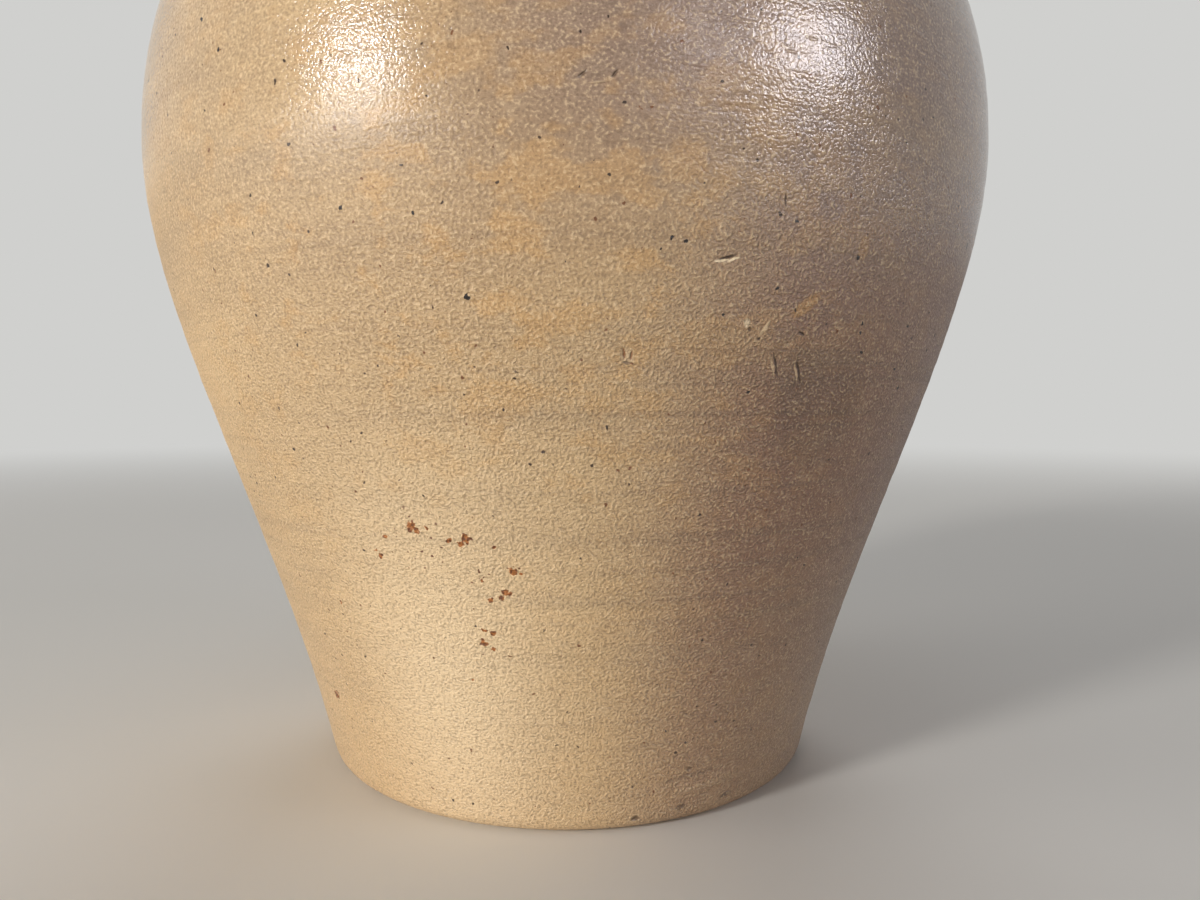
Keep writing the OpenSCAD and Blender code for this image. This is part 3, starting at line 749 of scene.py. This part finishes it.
def salt_glaze():
    glaze = Finish("salt_glaze")
    at = glaze_fields(glaze)
    colour, scars, calm = stained_and_shaded(glaze, at, drifting_colour(glaze, at))
    colour = glaze.coated(colour, peel_coats(at, calm) + speck_coats(glaze, at))
    gloss = (at.z + at.right * 0.015).ramp(0.14, 0.165)
    sheen = at.z.ramp(0.08, 0.02)
    roughness = 0.52 - gloss * 0.42 - sheen * 0.1 + at.mottle * 0.06
    normal = glaze.bump(glaze_relief(at, scars, calm), 1 * MM)
    glaze.set(Base_Color=colour, Roughness=roughness, Normal=normal, IOR=GLAZE_IOR)
    return glaze.material


glaze = salt_glaze()
print("salt glaze has", len(glaze.node_tree.nodes), "nodes")

# %% [markdown]
# ## The jar
#
# The main piece, thrown in one and hollow. It could be a smooth mesh with every mark drawn by the
# glaze alone, but then its edge would stay perfectly smooth. So the mesh is fine enough for the larger
# marks and the throwing rings to be real shape. Foot and neck stay true, because the pot stands on
# one and the band is clamped on the other.

# %% The jar
jar = thrown("stoneware_jar", jar_line, glaze, MARKS, columns=320, bias=0.6, wobble=1.2, rings=0.3,
             pitch=3.2, low=1, high=neck_z - 2, seed=3.0)
stand_for(jar, "jar_body")

# %% [markdown]
# ## Lug handles
#
# Each handle is a roll of clay bent to a loop and luted on to the shoulder, its ends smeared out. A
# curve with a round bevel could make the loop, but its ends would be cut flat against the pot. Here a
# grid is wrapped round the loop as a tube that flares towards the roots. The last rows slide over to
# the nearest point of the jar, so the clay runs into the shoulder, and the very last row closes the
# tube inside the wall.

# %% Where a lug's clay lies
LUG_INPUTS = {
    "Object": ["Jar"], "Material": ["Finish"],
    "Float": ["Root out", "Root up", "Loop radius", "Thickness", "Pad", "Tilt", "Bend", "Run",
              "Side", "Seed"]}
# shares of the way from the loop's middle to its end: bent, flaring, luted and closed
BENT_TO, FLARING, LUTED, CLOSED_FROM = 0.74, (0.6, 0.98), (0.86, 0.985), 0.995
ROLL_FLATTENED = 0.94


def lug_tube(graph, given, across, along):
    """The points on the tube's skin and on its middle line."""
    turn = across * given["Side"] * -math.tau
    far = along.math("ABSOLUTE")
    bend = (along / BENT_TO).math("MINIMUM", 1.0).math("MAXIMUM", -1.0) * given["Bend"]
    straight = (far - BENT_TO).math("MAXIMUM", 0.0) / (1 - BENT_TO)
    run = straight * given["Run"] * along.math("SIGN")
    flare = far.ramp(*FLARING)
    half = (given["Thickness"] + (given["Pad"] - given["Thickness"]) * flare * flare) * 0.5
    c, s = bend.math("COSINE"), bend.math("SINE")
    middle_x = given["Loop radius"] * c - run * s
    middle_y = given["Loop radius"] * s + run * c
    thick = half * turn.math("COSINE") * ROLL_FLATTENED

    def placed(out, back, lift):
        lean_c, lean_s = given["Tilt"].math("COSINE"), given["Tilt"].math("SINE")
        wide = given["Root out"] + out * lean_c - lift * lean_s
        high = given["Root up"] + out * lean_s + lift * lean_c
        return graph.join(wide * given["Side"], back, high)

    skin = placed(middle_x + thick * c, middle_y + thick * s, half * turn.math("SINE"))
    return skin, placed(middle_x, middle_y, 0.0)


# %% The tree of lug handles
LUG_COLUMNS, LUG_ROWS = 40, 120
SKIN_SUNK, END_SUNK = 0.993, 0.97
LUMP_SCALE, LUMP = 40, 1.6 * MM


def lug_tree():
    graph, given = begin_tree("lug_form", **LUG_INPUTS)
    sides = {"Size X": 1.0, "Size Y": 2.0, "Vertices X": LUG_COLUMNS + 1, "Vertices Y": LUG_ROWS + 1}
    grid = graph.add("GeometryNodeMeshGrid", sides)
    across, along = graph.split(graph.add("GeometryNodeInputPosition"))[:2]
    skin, middle = lug_tube(graph, given, across, along)
    jar_mesh = graph.add("GeometryNodeObjectInfo", {"Object": given["Jar"]}, "Geometry")

    def on_jar(place, sunk):
        inputs = {0: jar_mesh, "Sample Position": place}
        near = graph.add("GeometryNodeProximity", inputs, target_element="FACES")
        return graph.vector("MULTIPLY", near, (sunk, sunk, 1.0))

    far = along.math("ABSOLUTE")
    luted = graph.between(far.ramp(*LUTED), skin, on_jar(skin, SKIN_SUNK))
    last = far.math("GREATER_THAN", CLOSED_FROM)
    closed = graph.between(last, luted, on_jar(middle, END_SUNK))
    form = graph.add("GeometryNodeSetPosition", {"Geometry": grid, "Position": closed})
    form = graph.add("GeometryNodeMergeByDistance", {"Geometry": form, "Distance": MERGE})
    seed = graph.join(given["Seed"], 0.0, 0.0)
    seeded = graph.vector("ADD", graph.add("GeometryNodeInputPosition"), seed)
    uneven = (graph.noise(seeded, LUMP_SCALE, 1.5) - 0.5) * LUMP
    offset = graph.scaled(graph.add("GeometryNodeInputNormal"), uneven)
    form = graph.add("GeometryNodeSetPosition", {"Geometry": form, "Offset": offset})
    return end_tree(graph, form, given["Finish"])


# %% The two lug handles
handle_up, handle_span, handle_t, handle_pad = 58, 64, 17, 32
handle_tilt, handle_bend, handle_run = math.radians(42), math.radians(80), 17
lug_root_z = belly_z + handle_up
lugs = lug_tree()
lug_sizes = {
    "Jar": jar, "Root out": wall_radius(lug_root_z) * MM, "Root up": lug_root_z * MM,
    "Loop radius": handle_span / 2 * MM, "Thickness": handle_t * MM, "Pad": handle_pad * MM,
    "Tilt": handle_tilt, "Bend": handle_bend, "Run": handle_run * MM, "Finish": glaze}
left_lug = run_tree("left_lug", lugs, {**lug_sizes, "Side": -1.0, "Seed": 4.0})
right_lug = run_tree("right_lug", lugs, {**lug_sizes, "Side": 1.0, "Seed": 9.0})
stand_for(left_lug, "handle_left")
stand_for(right_lug, "handle_right")

# %% [markdown]
# ## The lid's stoneware
#
# The dome was thrown upside down as a shallow bowl with a flange that keeps it in the mouth, and the
# knob was turned and luted on top. They could be one mesh, but they are two pieces of clay, and each
# wobbles in its own way. Both use the tree of thrown forms, with eased edges, because glaze rounds
# every corner.

# %% The lid's sizes
# the seal on the rim, and the gaps that pieces need
seat_gap, seal_t, seal_w, fit_gap = 0.3, 2, 8, 0.1
# the pewter ring: how far it stands out, its wall, its ledge and the lip over the dome
ring_out, ring_wall, ledge_t, ledge_back, lip_t, lip_w = 4, 4, 2, 2, 1.8, 3.6
# the dome: its edge, its rise and its thickness, then the flange inside the mouth
dome_edge_t, dome_rise, dome_t = 5, 22, 6
flange_gap, flange_t, flange_drop = 4, 6, 9
# the knob, widest in its middle, with a waist and a foot
knob_r, knob_h, knob_foot_r, knob_waist_r, knob_waist_h = 17, 22, 13, 9.5, 6
ring_r = rim_r + ring_out
ring_z = rim_top + seat_gap + seal_t
dome_r = ring_r - ring_wall - fit_gap
dome_z = ring_z + ledge_t
crown_z = dome_z + dome_edge_t
lip_z = crown_z + fit_gap
ring_top = lip_z + lip_t
lip_r = dome_r - lip_w
crown_r = lip_r - fit_gap
crown_ball = (crown_r ** 2 + dome_rise ** 2) / (2 * dome_rise)
crown_c = crown_z + dome_rise - crown_ball
flange_r = mouth_r - flange_gap
flange_in = flange_r - flange_t
flange_z = ring_z - flange_drop
print("dome is %.1f mm across, its crown a ball of %.1f mm radius" % (2 * dome_r, crown_ball))

# %% Lid outlines
GLAZED_EDGE = 1.6


def crown_at(radius, ball):
    return crown_c + math.sqrt(ball ** 2 - radius ** 2)


def crown_line(start, end, ball, steps=24):
    return [[r, crown_at(r, ball)] for r in np.linspace(start, end, steps + 1)]


knob_z = crown_at(knob_foot_r, crown_ball)
hollow = crown_line(0, flange_in, crown_ball - dome_t)
rim_of_dome = eased([
    hollow[-1], [flange_in, flange_z], [flange_r, flange_z], [flange_r, dome_z], [dome_r, dome_z],
    [dome_r, crown_z], [crown_r, crown_z]], GLAZED_EDGE)
crown = crown_line(crown_r, knob_foot_r, crown_ball)
dome_line = np.concatenate([hollow[:-1], rim_of_dome[:-1], crown, [[0, knob_z]]])
waist_angle = -math.degrees(math.acos(knob_waist_r / knob_r))
waist_z = knob_z + knob_waist_h
knob_c = waist_z - knob_h / 2 * math.sin(math.radians(waist_angle))
knob_flare = cubic([
    [knob_foot_r, knob_z], [knob_waist_r, knob_z + knob_waist_h / 3],
    [knob_waist_r, knob_z + knob_waist_h / 2], [knob_waist_r, waist_z]], steps=10)
knob_ball = arc((0, knob_c), (knob_r, knob_h / 2), waist_angle, 90, 30)
knob_line = np.concatenate([[[0, knob_z]], knob_flare, knob_ball[1:]])
print("dome line has", len(dome_line), "stations, knob line", len(knob_line))

# %% Dome and knob
dome = thrown("stoneware_dome", dome_line, glaze, wobble=0.9, rings=0.35, pitch=3.0,
              low=ring_top + 0.5, seed=6.0)
stand_for(dome, "lid_dome")
knob = thrown("stoneware_knob", knob_line, glaze, columns=96, wobble=1.2, rings=0.3, pitch=2.2,
              low=knob_z + 0.5, seed=11.0)
stand_for(knob, "lid_knob")

# %% [markdown]
# ## Metal and cork finishes
#
# Pewter dulls to a soft grey, darker in the corners and brighter on worn edges, and the brass
# fastenings are tarnished brown in blotches. One colour with a little gloss could stand for either,
# but it would look like plastic. The Geometry node's Pointiness tells edges from corners, so one
# recipe wears both metals. The cork ring is pressed from granules, so it has cells with dark seams.

# %% Metal finishes
# blotches per metre of tarnish, fine grime and shallow dents
TARNISH, GRIME, DENTS = 70, 900, 190


def worn_metal(name, plain, dull, bright, grime, rough):
    """A metal with blotches of tarnish, bright edges and dark corners."""
    metal = Finish(name)
    blotch = metal.noise(metal.place, TARNISH, 4.0, 0.6)
    fine = metal.noise(metal.place, GRIME, 3.0, 0.6)
    dents = metal.noise(metal.place, DENTS, 2.0) * 0.2 + fine * 0.02
    point = metal.add("ShaderNodeNewGeometry", output="Pointiness")
    colour = metal.coated(metal.mix(blotch.ramp(0.35, 0.65), plain, dull), [
        (fine.ramp(0.5, 0.8) * 0.35, grime),
        (point.ramp(0.49, 0.42) * 0.7, grime),
        (point.ramp(0.52, 0.58) * 0.7, bright)])
    roughness = blotch.ramp(0.3, 0.7) * 0.2 + fine * 0.12 + rough
    normal = metal.bump(dents, 0.6 * MM)
    metal.set(Base_Color=colour, Metallic=1.0, Roughness=roughness, Normal=normal)
    return metal.material


pewter = worn_metal("pewter", plain=paint(152, 150, 144), dull=paint(122, 119, 112),
                    bright=paint(196, 194, 187), grime=paint(70, 66, 60), rough=0.28)
brass = worn_metal("brass", plain=paint(176, 140, 78), dull=paint(124, 94, 54),
                   bright=paint(216, 180, 106), grime=paint(62, 46, 30), rough=0.26)
print("metals:", pewter.name, brass.name)

# %% Cork finish
CORK_DEEP, CORK_PALE = paint(150, 108, 66), paint(196, 156, 106)
CORK_SEAM, CORK_HOLE = paint(92, 60, 34), paint(70, 44, 26)
CORK_CELLS, CORK_GRAIN = 480, 1400


def pressed_cork():
    cork = Finish("cork")
    edge, tone = cork.cells(cork.place, CORK_CELLS)[:2]
    fine = cork.noise(cork.place, CORK_GRAIN, 2.0)
    colour = cork.coated(cork.mix(tone, CORK_DEEP, CORK_PALE), [
        (edge.ramp(0.45, 0.75) * 0.8, CORK_SEAM), (fine.ramp(0.6, 0.75) * 0.6, CORK_HOLE)])
    normal = cork.bump(edge * -0.6 + fine * 0.4, 0.3 * MM)
    cork.set(Base_Color=colour, Roughness=0.95 - tone * 0.15, Normal=normal)
    return cork.material


cork = pressed_cork()
print("cork has", len(cork.node_tree.nodes), "nodes")

# %% [markdown]
# ## Ring and seal
#
# The pewter ring was turned on a lathe, with two fine grooves, and its lip is burnished over the edge
# of the dome. The cork ring under it meets the jar's rim. The solids could be used as they are, but
# they have no grooves and their edges are sharp. Both are closed outlines here, with eased corners,
# turned by the same tree as the clay but left true.

# %% Ring and seal
groove, groove_w, groove_from_edge = 0.5, 0.9, 2.6
ring_edge, seal_edge, ring_columns = 0.7, 0.4, 192
ledge_r = mouth_r + ledge_back
socket_r = dome_r + fit_gap


def groove_at(z):
    """The corners of a groove turned into the ring's face at a height."""
    floor = ring_r - groove
    return [[ring_r, z - groove_w], [floor, z - groove_w / 3], [floor, z + groove_w / 3],
            [ring_r, z + groove_w]]


ring_line = eased([
    [ledge_r, ring_z], [ring_r, ring_z], *groove_at(ring_z + groove_from_edge),
    *groove_at(ring_top - groove_from_edge), [ring_r, ring_top], [lip_r, ring_top], [lip_r, lip_z],
    [socket_r, lip_z], [socket_r, dome_z], [ledge_r, dome_z]], ring_edge, closed=True)
stand_for(thrown("pewter_ring", ring_line, pewter, columns=ring_columns), "lid_ring")
seal_mid = (mouth_r + rim_r) / 2
seal_in, seal_out = seal_mid - seal_w / 2, seal_mid + seal_w / 2
seal_low = ring_z - seal_t
seal_line = eased([[seal_in, seal_low], [seal_out, seal_low], [seal_out, ring_z], [seal_in, ring_z]],
                  seal_edge, closed=True)
stand_for(thrown("cork_ring", seal_line, cork, columns=ring_columns), "lid_seal")

# %% [markdown]
# ## Cast and bent metal
#
# Band, bracket, strap, thumb lift, screw, nut and pin have the right shapes already, but a solid's
# edges are knife sharp and castings are not. They could be modelled again, with some risk that they
# no longer fit. So a copy of each solid is merged, its flat faces are joined again, and a Bevel
# modifier rounds every edge sharper than a limit.

# %% Softened metal
FLAT = math.radians(1)
SHARP = math.radians(32)


def softened(name, node, finish, width, segments=2):
    """A copy of a solid with its edges rounded by a width in millimetres."""
    form = bmesh.new()
    form.from_mesh(frame["nodes"][node].data)
    bmesh.ops.remove_doubles(form, verts=form.verts, dist=MERGE)
    bmesh.ops.dissolve_limit(form, angle_limit=FLAT, verts=form.verts, edges=form.edges)
    mesh = bpy.data.meshes.new(name + "_sharp")
    form.to_mesh(mesh)
    form.free()
    holder = link_object(name + "_sharp", mesh)
    bevel = holder.modifiers.new("edges", "BEVEL")
    bevel.width = width * MM
    bevel.segments = segments
    bevel.limit_method = "ANGLE"
    bevel.angle_limit = SHARP
    piece = plain_mesh(holder, name)
    piece.data.materials.clear()
    piece.data.materials.append(finish)
    piece.data.shade_smooth()
    piece.data.set_sharp_from_angle(angle=SHARP)
    return stand_for(piece, node)


softened("pewter_band", "neck_band", pewter, 0.4)
softened("pewter_bracket", "hinge_bracket", pewter, 0.6)
softened("pewter_strap", "lid_strap", pewter, 0.5)
softened("trefoil_lift", "thumb_lift", pewter, 1.2, 4)
softened("brass_screw", "band_screw", brass, 0.35)
softened("brass_nut", "band_nut", brass, 0.6)
softened("brass_pin", "hinge_pin", brass, 0.5, 3)

# %% [markdown]
# ## Rivets
#
# Two rivets hold the bracket to the band and two smaller ones the strap to the lid's ring. Each is a
# shank whose end was peened to a round head. They could be copied and placed by hand. Here one rivet
# is turned from its outline, and a Geometry Nodes tree sets copies of it on a ring at the back,
# pointing outwards or up, so their number and spread are just inputs. A random turn shows each one
# from another side, as after setting by hand.

# %% The tree of rivets
RIVET_INPUTS = {
    "Object": ["Rivet"], "Int": ["Count", "Seed"], "Material": ["Finish"],
    "Float": ["Spread", "Ring radius", "Height", "Lean"]}


def rivet_tree():
    graph, given = begin_tree("rivets_on_a_ring", **RIVET_INPUTS)
    points = graph.add("GeometryNodeMeshLine", {"Count": given["Count"]})
    share = graph.add("GeometryNodeInputIndex") / (given["Count"] - 1)
    turn = (share * 2 - 1) * given["Spread"]
    ring = given["Ring radius"]
    place = graph.join(turn.math("SINE") * ring, turn.math("COSINE") * ring, given["Height"])
    points = graph.add("GeometryNodeSetPosition", {"Geometry": points, "Position": place})
    rivet = graph.add("GeometryNodeObjectInfo", {"Object": given["Rivet"]}, "Geometry")
    upright = graph.join(-given["Lean"], 0.0, -turn)
    copies = {"Points": points, "Instance": rivet, "Rotation": upright}
    form = graph.add("GeometryNodeInstanceOnPoints", copies)
    limits = {"Min": 0.0, "Max": math.tau, "Seed": given["Seed"]}
    spin = graph.add("FunctionNodeRandomValue", limits, 1, data_type="FLOAT")
    spun = {"Instances": form, "Rotation": graph.join(0.0, 0.0, spin)}
    form = graph.add("GeometryNodeRotateInstances", spun)
    return end_tree(graph, form, given["Finish"])


# %% Rivets of the bracket and the strap
band_gap, band_t, bracket_t, strap_t = 0.1, 1.6, 2.6, 2.6
band_in = neck_r + band_gap
bracket_out = band_in + band_t + bracket_t
strap_top = ring_top + strap_t
RIVET_EDGE, RIVET_COLUMNS = 0.15, 32
OUTWARDS, UP = math.radians(90), 0.0
rivets = rivet_tree()


def rivet_line(radius, length, head_r, head_h):
    """A shank from the origin up and a round head beyond its length."""
    ball = (head_r ** 2 + head_h ** 2) / (2 * head_h)
    edge = math.degrees(math.acos(head_r / ball))
    head = arc((0, length + head_h - ball), ball, edge, 90, 12)
    shank = [[0, 0], [radius, 0], [radius, length], [head_r, length], head[1]]
    return np.concatenate([eased(shank, RIVET_EDGE), head[2:]])


def rivet_pair(name, node, line, spread, ring, height, lean, seed):
    one = thrown(name + "_one", line, brass, columns=RIVET_COLUMNS)
    values = {"Rivet": one, "Count": 2, "Spread": math.radians(spread), "Ring radius": ring * MM,
              "Height": height * MM, "Lean": lean, "Seed": seed, "Finish": brass}
    made = stand_for(run_tree(name, rivets, values), node)
    bpy.data.objects.remove(one)
    return made


band_rivet = rivet_line(radius=1.6, length=bracket_out - band_in, head_r=3, head_h=1.6)
strap_rivet = rivet_line(radius=1.1, length=strap_top - ring_z, head_r=2.2, head_h=1.1)
rivet_pair("band_rivets", "bracket_rivets", band_rivet, spread=20, ring=band_in,
           height=neck_z + neck_h / 2, lean=OUTWARDS, seed=2)
rivet_pair("lid_rivets", "strap_rivets", strap_rivet, spread=12.5, ring=ring_r - ring_wall / 2,
           height=ring_z, lean=UP, seed=5)

# %% [markdown]
# ## The stage
#
# A pale floor and soft lamps stand in for a studio. One large lamp could light the jar evenly, but the
# photograph's light comes from the left, and its glaze shows two compact highlights. So the light and
# shade come from wide lamps, most of them left out of reflections, and the highlights from small ones
# that shine in reflections alone. Those stand where the shoulder mirrors them to the camera.

# %% Floor
PALE, FLOOR_PALE = paint(208, 208, 206), paint(236, 236, 234)
FLOOR_R, FLOOR_MID, FLOOR_FADE = 6.0, 1.0, (0.5, 1.8)


def seen_directly(graph):
    """1 for what is seen straight, in a mirror or through glass, 0 for the light that it sheds."""
    path = graph.add("ShaderNodeLightPath").socket.node
    names = ("Is Camera Ray", "Is Glossy Ray", "Is Transmission Ray")
    straight, mirrored, through = (Value(graph, path.outputs[name]) for name in names)
    return straight.math("MAXIMUM", mirrored).math("MAXIMUM", through)


def pale_floor():
    """A round floor that takes shadows near the jar and turns into the plain background further out."""
    finish = Finish("pale_floor")
    finish.set(Base_Color=FLOOR_PALE, Roughness=0.7, Specular_IOR_Level=0.0)
    far = finish.length(finish.place).ramp(*FLOOR_FADE) * seen_directly(finish)
    glow = finish.add("ShaderNodeEmission", {"Color": PALE})
    lit = Value(finish, finish.shader.outputs[0])
    both = finish.add("ShaderNodeMixShader", {0: far, 1: lit, 2: glow})
    finish.put(finish.tree.nodes["Material Output"].inputs["Surface"], both)
    line = [[FLOOR_R / MM, 0], [FLOOR_MID / MM, 0], [0, 0]]
    return thrown("floor", line, finish.material, columns=96)


pale_floor()

# %% Lamps
# angles in degrees, distance and size in metres, then if it lights surfaces and if it is mirrored
Lamp = namedtuple("Lamp", "name azimuth elevation distance size watts colour diffuse glossy")
CREAM, SOFT_CREAM, AMBER = (1.0, 0.96, 0.9), (1.0, 0.95, 0.88), (1.0, 0.93, 0.86)
DEEP_AMBER, WHITE, WARM_WHITE = (1.0, 0.92, 0.82), (1.0, 1.0, 1.0), (1.0, 0.98, 0.95)
ROSE, PALE_ROSE, COOL_WHITE = (1.0, 0.94, 0.98), (1.0, 0.96, 1.0), (1.0, 0.98, 1.0)
LAMPS = [
    Lamp("left_lamp", -49, 18, 2.2, (0.32, 0.32), 18.5, CREAM, True, False),
    Lamp("side_lamp", -80, 5, 2.2, (0.8, 0.8), 11.5, AMBER, True, False),
    Lamp("low_lamp", -50, -2, 2.2, (0.6, 0.2), 14, DEEP_AMBER, True, True),
    Lamp("front_lamp", 5, -1, 2.2, (1.2, 0.3), 15, SOFT_CREAM, True, False),
    Lamp("right_lamp", 65, 30, 2.2, (0.8, 0.8), 3.5, ROSE, True, False),
    Lamp("top_lamp", 0, 85, 2.6, (2.0, 2.0), 8, WHITE, True, True),
    Lamp("back_lamp", 170, 35, 2.6, (1.6, 1.6), 20, WARM_WHITE, True, True),
    Lamp("left_glint", -49, 16, 2.2, (0.3, 0.3), 16, COOL_WHITE, False, True),
    Lamp("right_glint", 58, 20, 2.2, (0.8, 0.5), 18, PALE_ROSE, False, True),
    Lamp("strip_glint", 31, 18, 2.2, (0.06, 0.8), 3.5, PALE_ROSE, False, True),
]


def hang(lamp):
    """A soft lamp that faces the jar's belly from its azimuth, elevation and distance."""
    data = bpy.data.lights.new(lamp.name, "AREA")
    data.shape = "RECTANGLE"
    data.size, data.size_y = lamp.size
    data.energy = lamp.watts
    data.color = lamp.colour
    light = link_object(lamp.name, data)
    light.visible_camera = False
    light.visible_diffuse = lamp.diffuse
    light.visible_glossy = lamp.glossy
    a, e = math.radians(lamp.azimuth), math.radians(lamp.elevation)
    away = Vector((math.sin(a) * math.cos(e), -math.cos(a) * math.cos(e), math.sin(e)))
    light.location = Vector((0, 0, belly_z * MM)) + away * lamp.distance
    light.rotation_euler = away.to_track_quat("Z", "Y").to_euler()


for lamp in LAMPS:
    hang(lamp)
print(len(LAMPS), "lamps with", sum(lamp.watts for lamp in LAMPS), "watts together")

# %% World
ROOM_LIGHT = 0.07
world = bpy.data.worlds.new("studio")
world.use_nodes = True
room = Graph(world.node_tree)
background = world.node_tree.nodes["Background"].inputs
room.put(background["Color"], PALE)
room.put(background["Strength"], ROOM_LIGHT + seen_directly(room) * (1 - ROOM_LIGHT))
scene.world = world
print("the room sheds", ROOM_LIGHT, "of the light that it shows")
